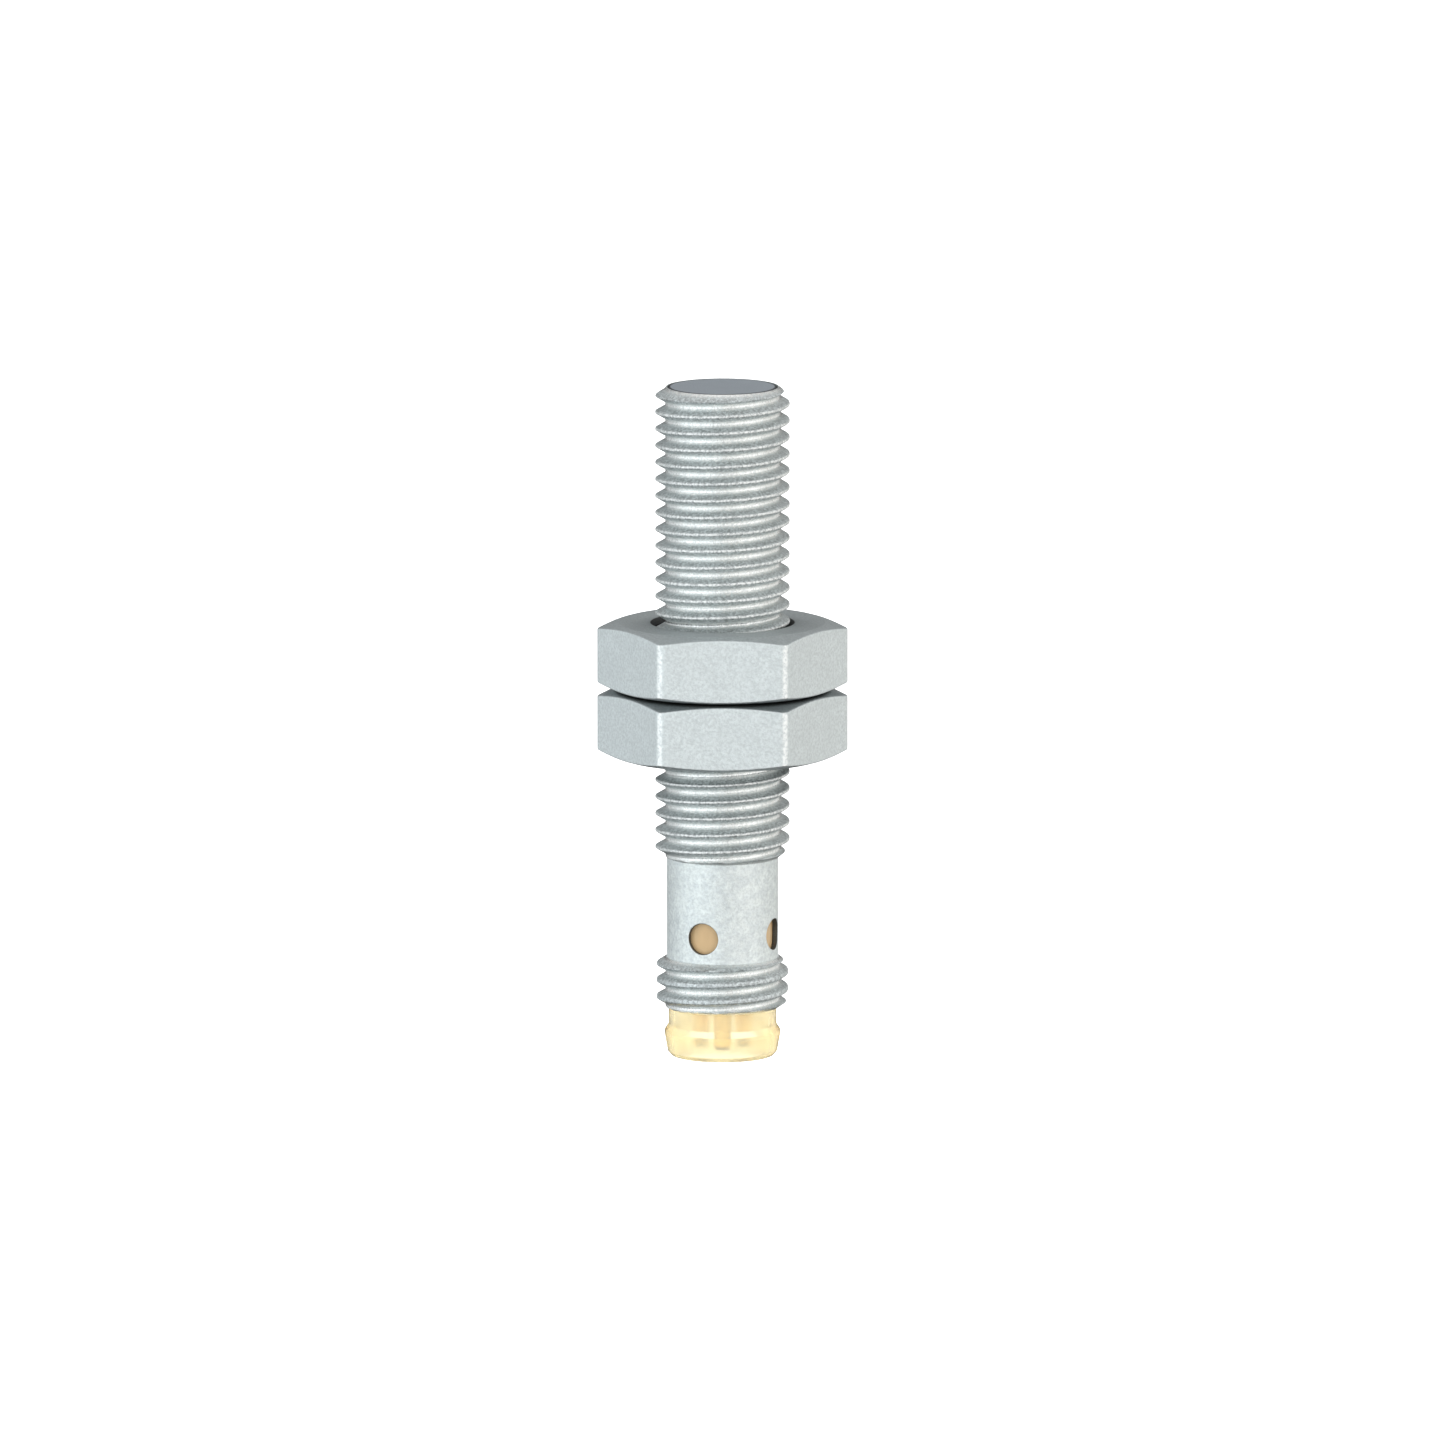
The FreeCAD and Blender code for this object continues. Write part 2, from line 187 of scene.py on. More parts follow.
class StageSettings(PropertyGroup):
    azimuth: FloatProperty(name="Azimuth", description="Camera azimuth", default=0.0,
                           subtype="ANGLE")
    elevation: FloatProperty(name="Elevation", description="Camera height over the horizon",
                             default=math.radians(9.2), subtype="ANGLE")
    distance: length("Camera distance", 1600.0)
    view_width: length("View width", 85.5, "Width of the view where the sensor stands")
    target_depth: length("Target depth", 20.1, "Distance of the view's centre behind the face")
    floor: colour("Floor", 0.93, 0.93, 0.93)


# Meshes

def lathe_angles(start=0.0):
    return start + np.arange(COLUMNS) * 2 * math.pi / COLUMNS


def rounded(corners, steps=4):
    """Rows of (radius, z) for an outline whose (radius, z, rounding) corners become arcs.

    A row on each side of an arc holds the flat faces' shading. Radii and heights may be arrays.
    """
    count = max(np.size(value) for corner in corners for value in corner[:2])
    points = [np.array([np.broadcast_to(value, count) for value in corner[:2]], float)
              for corner in corners]
    rows = []
    for i, corner in enumerate(corners):
        here = points[i]
        if corner[2] == 0:
            rows.append(here)
            continue
        back = points[i - 1] - here
        ahead = points[i + 1] - here
        back = back / np.linalg.norm(back, axis=0)
        ahead = ahead / np.linalg.norm(ahead, axis=0)
        half = np.arccos(np.clip((back * ahead).sum(0), -1, 1)) / 2
        reach = corner[2] / np.tan(half)
        middle = back + ahead
        centre = here + middle / np.linalg.norm(middle, axis=0) * corner[2] / np.sin(half)
        first = here + back * reach - centre
        last = here + ahead * reach - centre
        sweep = math.pi - 2 * half
        rows.append(here + back * reach * 1.5)
        for step in range(steps + 1):
            share = step / steps
            arc = (first * np.sin((1 - share) * sweep) + last * np.sin(share * sweep))
            rows.append(centre + arc / np.sin(sweep))
        rows.append(here + ahead * reach * 1.5)
    return rows


def add_rings(bm, rows, angles, centre=(0.0, 0.0)):
    """Join rings of (radius, z) rows, and of (radius, z, angles) rows, into a skin."""
    rings = []
    for row in rows:
        turn = row[2] if len(row) > 2 else angles
        radius, height, turn = np.broadcast_arrays(row[0], row[1], turn)
        places = zip(radius * np.cos(turn) + centre[0], radius * np.sin(turn) + centre[1], height)
        rings.append([bm.verts.new(place) for place in places])
    for lower, upper in zip(rings, rings[1:]):
        count = len(lower)
        for i in range(count):
            after = (i + 1) % count
            bm.faces.new((lower[i], lower[after], upper[after], upper[i]))


def close_mesh(bm, name):
    """Merge the seams, point every face outwards and return the object, or stop if it is open."""
    bmesh.ops.remove_doubles(bm, verts=bm.verts, dist=MERGE)
    bmesh.ops.dissolve_degenerate(bm, edges=bm.edges, dist=MERGE / 10)
    open_edges = [edge for edge in bm.edges if len(edge.link_faces) != 2]
    if open_edges:
        raise RuntimeError(f"{name} has {len(open_edges)} open edges, near "
                           f"{open_edges[0].verts[0].co[:]}")
    bmesh.ops.recalc_face_normals(bm, faces=bm.faces)
    if bm.calc_volume(signed=True) < 0:
        bmesh.ops.reverse_faces(bm, faces=bm.faces)
    mesh = bpy.data.meshes.new(name)
    bm.to_mesh(mesh)
    bm.free()
    mesh.shade_smooth()
    mesh.set_sharp_from_angle(angle=math.radians(50))
    piece = bpy.data.objects.new(name, mesh)
    bpy.context.scene.collection.objects.link(piece)
    return piece


def place(piece, node, body, slot, material):
    """Finish a piece: its material, its body and the CAD node it stands for. The slot is not used.
    """
    piece.data.materials.clear()
    piece.data.materials.append(material)
    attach(piece, body)
    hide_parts(node)


# Node trees

class Sums:
    """Writes arithmetic as Math nodes, in a geometry or a shader tree."""

    def __init__(self, tree):
        self.tree = tree

    def do(self, operation, *values):
        node = self.tree.nodes.new("ShaderNodeMath")
        node.operation = operation
        for socket, value in zip(node.inputs, values):
            self.put(value, socket)
        return node.outputs[0]

    def put(self, value, socket):
        if isinstance(value, bpy.types.NodeSocket):
            self.tree.links.new(value, socket)
        else:
            socket.default_value = value

    def add(self, a, b):
        return self.do("ADD", a, b)

    def less(self, a, b):
        return self.do("SUBTRACT", a, b)

    def times(self, a, b):
        return self.do("MULTIPLY", a, b)

    def over(self, a, b):
        return self.do("DIVIDE", a, b)


THREAD_INPUTS = [
    "Pitch", "Crest radius", "Root radius", "Crest width", "Rounding", "Side", "Top", "Bottom",
    "Top radius", "Top slope", "Bottom radius", "Bottom slope", "Start angle",
]


def thread_tree():
    """A helical thread's skin. Side is 1 for a shaft and -1 for a hole.

    A flat grid becomes the skin: its x is the turn, and its rows climb one pitch in each turn.
    Rows that would pass an end are held on it, where they merge into one plain ring.
    """
    tree = bpy.data.node_groups.new("helical_thread", "GeometryNodeTree")
    tree.is_modifier = True
    face = tree.interface
    face.new_socket("Geometry", in_out="INPUT", socket_type="NodeSocketGeometry")
    for name in THREAD_INPUTS:
        face.new_socket(name, in_out="INPUT", socket_type="NodeSocketFloat")
    face.new_socket("Columns", in_out="INPUT", socket_type="NodeSocketInt")
    face.new_socket("Rows per pitch", in_out="INPUT", socket_type="NodeSocketInt")
    face.new_socket("Material", in_out="INPUT", socket_type="NodeSocketMaterial")
    face.new_socket("Geometry", in_out="OUTPUT", socket_type="NodeSocketGeometry")
    inside = tree.nodes.new("NodeGroupInput").outputs
    sums = Sums(tree)

    step = sums.over(inside["Pitch"], inside["Rows per pitch"])
    tall = sums.add(sums.less(inside["Top"], inside["Bottom"]), inside["Pitch"])
    rows = sums.do("CEIL", sums.less(sums.over(tall, step), 0.001))
    grid = tree.nodes.new("GeometryNodeMeshGrid")
    grid.inputs["Size X"].default_value = 1.0
    sums.put(sums.times(rows, step), grid.inputs["Size Y"])
    sums.put(sums.add(inside["Columns"], 1.0), grid.inputs["Vertices X"])
    sums.put(sums.add(rows, 1.0), grid.inputs["Vertices Y"])

    spot = tree.nodes.new("ShaderNodeSeparateXYZ")
    tree.links.new(tree.nodes.new("GeometryNodeInputPosition").outputs[0], spot.inputs[0])
    turn = sums.add(spot.outputs["X"], 0.5)
    lowest = sums.less(inside["Bottom"], inside["Pitch"])
    flat_z = sums.add(sums.add(spot.outputs["Y"], sums.times(sums.times(rows, step), 0.5)), lowest)
    free_z = sums.add(flat_z, sums.times(inside["Pitch"], turn))
    z = sums.do("MAXIMUM", sums.do("MINIMUM", free_z, inside["Top"]), inside["Bottom"])
    angle = sums.add(sums.times(turn, 2 * math.pi), inside["Start angle"])

    lead = sums.times(inside["Pitch"], sums.over(angle, 2 * math.pi))
    phase = sums.over(sums.less(z, lead), inside["Pitch"])
    nearest = sums.do("FLOOR", sums.add(phase, 0.5))
    away = sums.times(sums.do("ABSOLUTE", sums.less(phase, nearest)), inside["Pitch"])
    past = sums.less(away, sums.times(inside["Crest width"], 0.5))
    flank = sums.less(inside["Crest radius"], sums.over(past, FLANK))
    bottomed = sums.do("SMOOTH_MAX", flank, inside["Root radius"], inside["Rounding"])
    thread = sums.do("SMOOTH_MIN", bottomed, inside["Crest radius"], inside["Rounding"])

    from_top = sums.less(inside["Top"], z)
    from_bottom = sums.less(z, inside["Bottom"])
    top_limit = sums.add(inside["Top radius"], sums.times(from_top, inside["Top slope"]))
    bottom_limit = sums.add(inside["Bottom radius"],
                            sums.times(from_bottom, inside["Bottom slope"]))
    radius = sums.times(thread, inside["Side"])
    for limit in (top_limit, bottom_limit):
        limit = sums.times(limit, inside["Side"])
        radius = sums.do("SMOOTH_MIN", radius, limit, inside["Rounding"])
    radius = sums.times(radius, inside["Side"])
    for gap, end in ((from_top, "Top radius"), (from_bottom, "Bottom radius")):
        at_end = sums.do("LESS_THAN", gap, MERGE)
        kept = sums.times(radius, sums.less(1.0, at_end))
        radius = sums.add(kept, sums.times(inside[end], at_end))

    moved = tree.nodes.new("ShaderNodeCombineXYZ")
    sums.put(sums.times(radius, sums.do("COSINE", angle)), moved.inputs["X"])
    sums.put(sums.times(radius, sums.do("SINE", angle)), moved.inputs["Y"])
    sums.put(z, moved.inputs["Z"])
    set_position = tree.nodes.new("GeometryNodeSetPosition")
    tree.links.new(grid.outputs["Mesh"], set_position.inputs["Geometry"])
    tree.links.new(moved.outputs[0], set_position.inputs["Position"])
    merge = tree.nodes.new("GeometryNodeMergeByDistance")
    merge.inputs["Distance"].default_value = MERGE
    tree.links.new(set_position.outputs[0], merge.inputs[0])
    finish_tree(tree, merge.outputs[0], inside["Material"])
    return tree


def finish_tree(tree, geometry, material):
    """End a tree in Realize Instances and Set Material."""
    realize = tree.nodes.new("GeometryNodeRealizeInstances")
    paint = tree.nodes.new("GeometryNodeSetMaterial")
    out = tree.nodes.new("NodeGroupOutput")
    tree.links.new(geometry, realize.inputs[0])
    tree.links.new(realize.outputs[0], paint.inputs["Geometry"])
    tree.links.new(material, paint.inputs["Material"])
    tree.links.new(paint.outputs[0], out.inputs[0])


def grow(tree, values):
    """The plain mesh that a tree makes from named values."""
    holder = bpy.data.objects.new("grown", bpy.data.meshes.new("grown"))
    bpy.context.scene.collection.objects.link(holder)
    modifier = holder.modifiers.new("grow", "NODES")
    modifier.node_group = tree
    for item in tree.interface.items_tree:
        if item.in_out == "INPUT" and item.name in values:
            modifier[item.identifier] = values[item.name]
    evaluated = holder.evaluated_get(bpy.context.evaluated_depsgraph_get())
    mesh = bpy.data.meshes.new_from_object(evaluated)
    holder.modifiers.remove(modifier)
    bpy.data.objects.remove(holder)
    return mesh


# Materials

class Finish:
    """A procedural finish on Object coordinates, with short calls for its nodes."""

    def __init__(self, name):
        self.material = bpy.data.materials.new(name)
        self.material.use_nodes = True
        self.tree = self.material.node_tree
        self.shader = self.tree.nodes["Principled BSDF"]
        self.sums = Sums(self.tree)
        self.where = self.tree.nodes.new("ShaderNodeTexCoord").outputs["Object"]

    def noise(self, grain, detail=2.0, rough=0.5, stretch=None):
        """Noise whose patches are about grain metres across, from 0 to 1."""
        node = self.tree.nodes.new("ShaderNodeTexNoise")
        node.inputs["Scale"].default_value = 1.0 / grain
        node.inputs["Detail"].default_value = detail
        node.inputs["Roughness"].default_value = rough
        self.tree.links.new(self.stretched(stretch), node.inputs["Vector"])
        return node.outputs["Fac"]

    def stretched(self, stretch):
        if stretch is None:
            return self.where
        node = self.tree.nodes.new("ShaderNodeMapping")
        node.inputs["Scale"].default_value = stretch
        self.tree.links.new(self.where, node.inputs["Vector"])
        return node.outputs[0]

    def ramp(self, value, low, high, start=0.0, end=1.0):
        """Map value from low..high to start..end, held at both ends."""
        node = self.tree.nodes.new("ShaderNodeMapRange")
        node.interpolation_type = "SMOOTHSTEP"
        node.inputs["From Min"].default_value = low
        node.inputs["From Max"].default_value = high
        node.inputs["To Min"].default_value = start
        node.inputs["To Max"].default_value = end
        self.tree.links.new(value, node.inputs["Value"])
        return node.outputs["Result"]

    def mix(self, share, first, second, blend="MIX"):
        node = self.tree.nodes.new("ShaderNodeMix")
        node.data_type = "RGBA"
        node.blend_type = blend
        self.sums.put(share, node.inputs["Factor"])
        for value, socket in ((first, node.inputs[6]), (second, node.inputs[7])):
            plain = not isinstance(value, bpy.types.NodeSocket)
            self.sums.put((*value, 1.0) if plain else value, socket)
        return node.outputs[2]

    def radius(self):
        """Distance from the sensor's axis."""
        spot = self.tree.nodes.new("ShaderNodeSeparateXYZ")
        self.tree.links.new(self.where, spot.inputs[0])
        square = self.sums.add(self.sums.times(spot.outputs["X"], spot.outputs["X"]),
                               self.sums.times(spot.outputs["Y"], spot.outputs["Y"]))
        return self.sums.do("SQRT", square)

    def height(self):
        """Place along the sensor's axis."""
        spot = self.tree.nodes.new("ShaderNodeSeparateXYZ")
        self.tree.links.new(self.where, spot.inputs[0])
        return spot.outputs["Z"]

    def bump(self, height, strength, depth):
        node = self.tree.nodes.new("ShaderNodeBump")
        node.inputs["Strength"].default_value = strength
        node.inputs["Distance"].default_value = depth
        self.tree.links.new(height, node.inputs["Height"])
        self.tree.links.new(node.outputs[0], self.shader.inputs["Normal"])

    def set(self, **values):
        for name, value in values.items():
            self.sums.put(value, self.shader.inputs[name.replace("_", " ")])


def shade_of(colour, factor):
    """A lighter or darker tone of a colour."""
    return tuple(min(1.0, channel * factor) for channel in colour)


def blasted_plating(name):
    """White bronze plating over a bead-blasted surface: the finish, its grain and its colour."""
    looks = bpy.context.scene.sensor_finishes
    finish = Finish(name)
    grain = finish.noise(0.16 * MM, 3.0, 0.65)
    fine = finish.noise(0.06 * MM, 2.0, 0.6)
    patches = finish.noise(1.6 * MM, 3.0, 0.5)
    base = finish.mix(finish.ramp(grain, 0.3, 0.7), shade_of(looks.plating, 0.88),
                      shade_of(looks.plating, 1.10))
    base = finish.mix(finish.ramp(patches, 0.25, 0.75, 0.0, 0.35), base,
                      shade_of(looks.plating, 0.92))
    finish.bump(finish.sums.add(grain, finish.sums.times(fine, 0.4)), 1.0, 0.028 * MM)
    finish.set(Metallic=1.0)
    return finish, grain, base, finish.ramp(fine, 0.2, 0.8, 0.60, 0.48)


def sleeve_plating():
    """Plating with dull thread flanks, a painted highlight on the thread roots, crests that are
    partly worn and partly painted highlight, and painted shade on the inner walls.
    """
    looks = bpy.context.scene.sensor_finishes
    sizes = bpy.context.scene.sensor_sleeve
    finish, grain, base, rough = blasted_plating("sleeve_plating")
    sums = finish.sums
    from_axis = finish.radius()
    flank = finish.ramp(from_axis, sizes.plain_radius + 0.02 * MM, sizes.root - 0.01 * MM)
    pepper = finish.mix(finish.ramp(grain, 0.32, 0.68), (0.65, 0.65, 0.65), (1.0, 1.0, 1.0))
    blotch = finish.mix(finish.ramp(finish.noise(0.4 * MM, 2.0, 0.6), 0.3, 0.7),
                        (0.98, 0.98, 0.98), (1.14, 1.13, 1.11))
    base = finish.mix(1.0, base, finish.mix(flank, blotch, pepper), "MULTIPLY")
    # Painted highlight: the thread roots, up to a ragged edge set by the grain, are painted a
    # bright speckled tone and made smoother.
    ragged = sums.add(from_axis, sums.times(sums.less(grain, 0.5), 0.8 * MM))
    painted_highlight = sums.times(finish.ramp(ragged, sizes.root, sizes.root + 0.22 * MM, 1.0, 0.0), flank)
    speckle = finish.ramp(finish.noise(0.12 * MM, 2.0, 0.6), 0.34, 0.56)
    base = finish.mix(painted_highlight, base, finish.mix(speckle, shade_of(looks.painted_highlight, 0.78),
                                               tuple(looks.painted_highlight)))
    rough = sums.less(rough, sums.times(painted_highlight, 0.26))
    # Brighter crests in patches of the grain: partly worn plating, partly painted highlight.
    crest = finish.ramp(from_axis, sizes.crest - 0.06 * MM, sizes.crest - 0.01 * MM)
    base = finish.mix(sums.times(crest, finish.ramp(grain, 0.4, 0.6, 0.2, 0.8)), base,
                      tuple(looks.painted_highlight))
    # Painted shade: the inner surfaces nearer the axis than the cap seat, such as the windows'
    # sides, are painted dark.
    wall = finish.ramp(from_axis, sizes.seat - 0.03 * MM, sizes.seat + 0.01 * MM, 1.0, 0.0)
    base = finish.mix(wall, base, shade_of(looks.plating, 0.2))
    finish.set(Base_Color=base, Roughness=rough)
    return finish.material


def nut_plating(node):
    """Plating with a painted highlight on the upright edges, and painted shade on the end faces,
    in the hole and between the nuts.
    """
    looks = bpy.context.scene.sensor_finishes
    sizes = bpy.context.scene.sensor_nuts
    low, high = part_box(node)
    finish, grain, base, rough = blasted_plating(node + "_plating")
    sums = finish.sums
    from_axis = finish.radius()
    # Painted shade: the end faces and their chamfers are painted darker than the flats.
    off_middle = sums.do("ABSOLUTE", sums.less(finish.height(), (low.z + high.z) / 2))
    fallen = sums.do("MAXIMUM", sums.less(from_axis, sizes.face_circle), 0.0)
    reach = sums.add(off_middle, sums.times(fallen, math.tan(sizes.face_slope)))
    half = (high.z - low.z) / 2
    end_face_shade = finish.ramp(reach, half - 0.05 * MM, half - 0.01 * MM)
    base = finish.mix(end_face_shade, base, (0.73, 0.74, 0.75), "MULTIPLY")
    # Painted highlight: the rounded upright corners are painted bright in patches of the grain,
    # and made smoother.
    edge = NUT_CORNER - 0.035 * MM
    corner_highlight = sums.times(finish.ramp(from_axis, edge, edge + 0.025 * MM),
                      finish.ramp(grain, 0.35, 0.62, 0.1, 0.75))
    base = finish.mix(corner_highlight, base, tuple(looks.painted_highlight))
    rough = sums.less(rough, sums.times(corner_highlight, 0.15))
    # Painted shade: surfaces shut in by nearby metal, such as the gap between the nuts and the
    # countersink, are painted near black.
    crevice = finish.tree.nodes.new("ShaderNodeAmbientOcclusion")
    crevice.samples = 8
    crevice.inputs["Distance"].default_value = 0.36 * MM
    crevice_shade = finish.ramp(crevice.outputs["AO"], 0.15, 0.6, 0.95, 0.0)
    base = finish.mix(crevice_shade, base, shade_of(looks.plating, 0.08))
    # Painted shade: the countersink and inner thread, nearer the axis than the countersink's rim,
    # are painted dark.
    hole = finish.ramp(from_axis, sizes.sink - 0.05 * MM, sizes.sink, 1.0, 0.0)
    base = finish.mix(hole, base, shade_of(looks.plating, 0.1))
    finish.set(Base_Color=base, Roughness=rough)
    return finish.material


def cap_plastic():
    """Matte blue-grey moulding with a faint grain, and a painted shadow ring round the rim."""
    looks = bpy.context.scene.sensor_finishes
    finish = Finish("cap_plastic")
    grain = finish.noise(0.07 * MM, 2.0, 0.6)
    cloud = finish.noise(1.1 * MM, 2.0, 0.5)
    base = finish.mix(finish.ramp(grain, 0.3, 0.7), shade_of(looks.cap, 0.9),
                      shade_of(looks.cap, 1.12))
    base = finish.mix(finish.ramp(cloud, 0.3, 0.7, 0.0, 0.5), base, shade_of(looks.cap, 0.93))
    # Painted shadow: a thin ring at the cap's outer edge is painted near black, as a shadow gap
    # against the sleeve.
    rim = finish.ramp(finish.radius(), CAP_HIGH.x - 0.14 * MM, CAP_HIGH.x - 0.07 * MM)
    base = finish.mix(rim, base, shade_of(looks.cap, 0.15))
    finish.set(Base_Color=base, Roughness=finish.ramp(grain, 0.2, 0.8, 0.62, 0.5), IOR=1.52)
    finish.bump(grain, 0.25, 0.008 * MM)
    return finish.material


def amber_plastic():
    """Amber moulding, clear round the socket and milky where it guides light in the sleeve."""
    looks = bpy.context.scene.sensor_finishes
    finish = Finish("amber_plastic")
    flow = finish.noise(0.9 * MM, 2.0, 0.5, (1.0, 1.0, 0.45))
    guide = finish.ramp(finish.height(), SLEEVE_LOW.z, SLEEVE_LOW.z + 1.0 * MM)
    clear = finish.mix(finish.ramp(flow, 0.3, 0.7), shade_of(looks.amber, 0.95),
                       tuple(looks.amber))
    milky = finish.mix(finish.ramp(flow, 0.3, 0.7), shade_of(looks.milky_amber, 0.95),
                       shade_of(looks.milky_amber, 1.05))
    finish.set(Base_Color=finish.mix(guide, clear, milky), IOR=1.38, Roughness=0.23,
               Transmission_Weight=finish.sums.less(0.72, finish.sums.times(guide, 0.57)))
    finish.bump(flow, 0.5, 0.02 * MM)
    depth = finish.tree.nodes.new("ShaderNodeVolumeAbsorption")
    depth.inputs["Color"].default_value = (0.99, 0.865, 0.4, 1)
    depth.inputs["Density"].default_value = 600
    output = finish.tree.nodes["Material Output"]
    finish.tree.links.new(depth.outputs[0], output.inputs["Volume"])
    return finish.material


def contact_gold():
    looks = bpy.context.scene.sensor_finishes
    finish = Finish("contact_gold")
    streak = finish.noise(0.25 * MM, 2.0, 0.5, (1.0, 1.0, 0.2))
    base = finish.mix(finish.ramp(streak, 0.3, 0.7), shade_of(looks.gold, 0.92),
                      shade_of(looks.gold, 1.05))
    finish.set(Base_Color=base, Metallic=1.0, Roughness=finish.ramp(streak, 0.2, 0.8, 0.3, 0.2))
    finish.bump(streak, 0.08, 0.003 * MM)
    return finish.material


def plain_finish(name, colour, grain, metallic, roughness, variation, relief):
    """A grained finish for a piece that is sealed inside the sleeve."""
    finish = Finish(name)
    noise = finish.noise(grain, 3.0, 0.55)
    base = finish.mix(finish.ramp(noise, 0.3, 0.7), shade_of(colour, 1 - variation),
                      shade_of(colour, 1 + variation))
    finish.set(Base_Color=base, Metallic=metallic,
               Roughness=finish.ramp(noise, 0.2, 0.8, roughness + 0.08, roughness - 0.08))
    finish.bump(noise, relief, 0.01 * MM)
    return finish.material


# Material name, colour, grain in mm, metallic, roughness, colour variation and relief.
INNER_FINISHES = {
    "ferrite_core": ("ferrite", (0.035, 0.035, 0.038), 0.06, 0.0, 0.6, 0.25, 0.3),
    "coil_bobbin": ("bobbin_nylon", (0.80, 0.77, 0.68), 0.3, 0.0, 0.45, 0.05, 0.05),
    "coil_winding": ("lacquered_copper", (0.72, 0.30, 0.12), 0.1, 1.0, 0.3, 0.15, 0.3),
    "coil_leads": ("lacquered_wire", (0.72, 0.30, 0.12), 0.2, 1.0, 0.3, 0.1, 0.1),
    "shield_ring": ("screen_foil", (0.80, 0.58, 0.28), 0.15, 1.0, 0.32, 0.08, 0.1),
    "circuit_board": ("solder_mask", (0.02, 0.16, 0.06), 0.5, 0.0, 0.32, 0.2, 0.15),
    "oscillator_chip": ("chip_epoxy", (0.02, 0.02, 0.022), 0.06, 0.0, 0.55, 0.2, 0.2),
    "output_transistor": ("transistor_epoxy", (0.022, 0.022, 0.024), 0.06, 0.0, 0.55, 0.2, 0.2),
    "protection_diode": ("diode_epoxy", (0.03, 0.03, 0.033), 0.06, 0.0, 0.5, 0.2, 0.2),
    "chip_capacitors": ("capacitor_ceramic", (0.42, 0.27, 0.14), 0.08, 0.0, 0.5, 0.15, 0.1),
    "chip_resistors": ("resistor_glaze", (0.04, 0.04, 0.045), 0.1, 0.0, 0.35, 0.2, 0.1),
    "status_leds": ("led_lens", (0.95, 0.80, 0.42), 0.3, 0.0, 0.2, 0.04, 0.02),
    "solder_joints": ("reflowed_solder", (0.66, 0.67, 0.68), 0.2, 1.0, 0.28, 0.08, 0.2),
    "potting_compound": ("potting_resin", (0.03, 0.03, 0.034), 0.8, 0.0, 0.35, 0.2, 0.1),
}


# Pieces

def window_angle():
    """The first window's direction as an angle from +X."""
    return bpy.context.scene.sensor_sleeve.window_azimuth - math.pi / 2


def sleeve_angles():
    """Column directions of the sleeve: one column runs through each quarter's edge."""
    return lathe_angles(window_angle() - math.pi / 4)


def hole_rim(centre_angle, spread, bore, depth, wall):
    """Points of a radial hole's rim at spread angles round it, depth below a round wall."""
    across = bore * np.cos(spread)
    out = np.sqrt(wall * wall - across * across) - depth
    x = out * math.cos(centre_angle) - across * math.sin(centre_angle)
    y = out * math.sin(centre_angle) + across * math.cos(centre_angle)
    return np.stack([x, y, bore * np.sin(spread)], 1)


def add_window_quarter(bm, sizes, centre_angle, half_height):
    """A quarter of the sleeve's wall, outside and inside, pierced by one round window."""
    columns = (np.arange(QUARTER + 1) - QUARTER / 2) * 2 * math.pi / COLUMNS
    risers = np.linspace(-half_height, half_height, 13)[1:-1]
    turn = np.concatenate([columns, np.full(len(risers), columns[-1]), columns[::-1],
                           np.full(len(risers), columns[0])])
    height = np.concatenate([np.full(len(columns), -half_height), risers,
                             np.full(len(columns), half_height), risers[::-1]])
    outer, inner = sizes.plain_radius, sizes.bore
    spread = np.arctan2(height, turn * outer)

    def wall_ring(wall, bore, share):
        rim_turn = np.arcsin(bore * np.cos(spread) / wall)
        mixed_turn = centre_angle + rim_turn * (1 - share) + turn * share
        z = bore * np.sin(spread) * (1 - share) + height * share
        return np.stack([wall * np.cos(mixed_turn), wall * np.sin(mixed_turn), z], 1)

    edge = sizes.window_edge
    rings = [wall_ring(outer, sizes.window + edge, share)
             for share in (1, 0.7, 0.45, 0.25, 0.1, 0.03)]
    for step in range(5):
        lean = math.pi / 8 * step
        rings.append(hole_rim(centre_angle, spread, sizes.window + edge * (1 - math.sin(lean)),
                              edge * (1 - math.cos(lean)), outer))
    rings.append(hole_rim(centre_angle, spread, sizes.window, edge * 1.3, outer))
    rings += [wall_ring(inner, sizes.window, share) for share in (0, 0.2, 0.6, 1)]
    vertices = [[bm.verts.new((x, y, z - sizes.window_depth)) for x, y, z in ring]
                for ring in rings]
    count = len(spread)
    for one, other in zip(vertices, vertices[1:]):
        for i in range(count):
            after = (i + 1) % count
            bm.faces.new((one[i], one[after], other[after], other[i]))


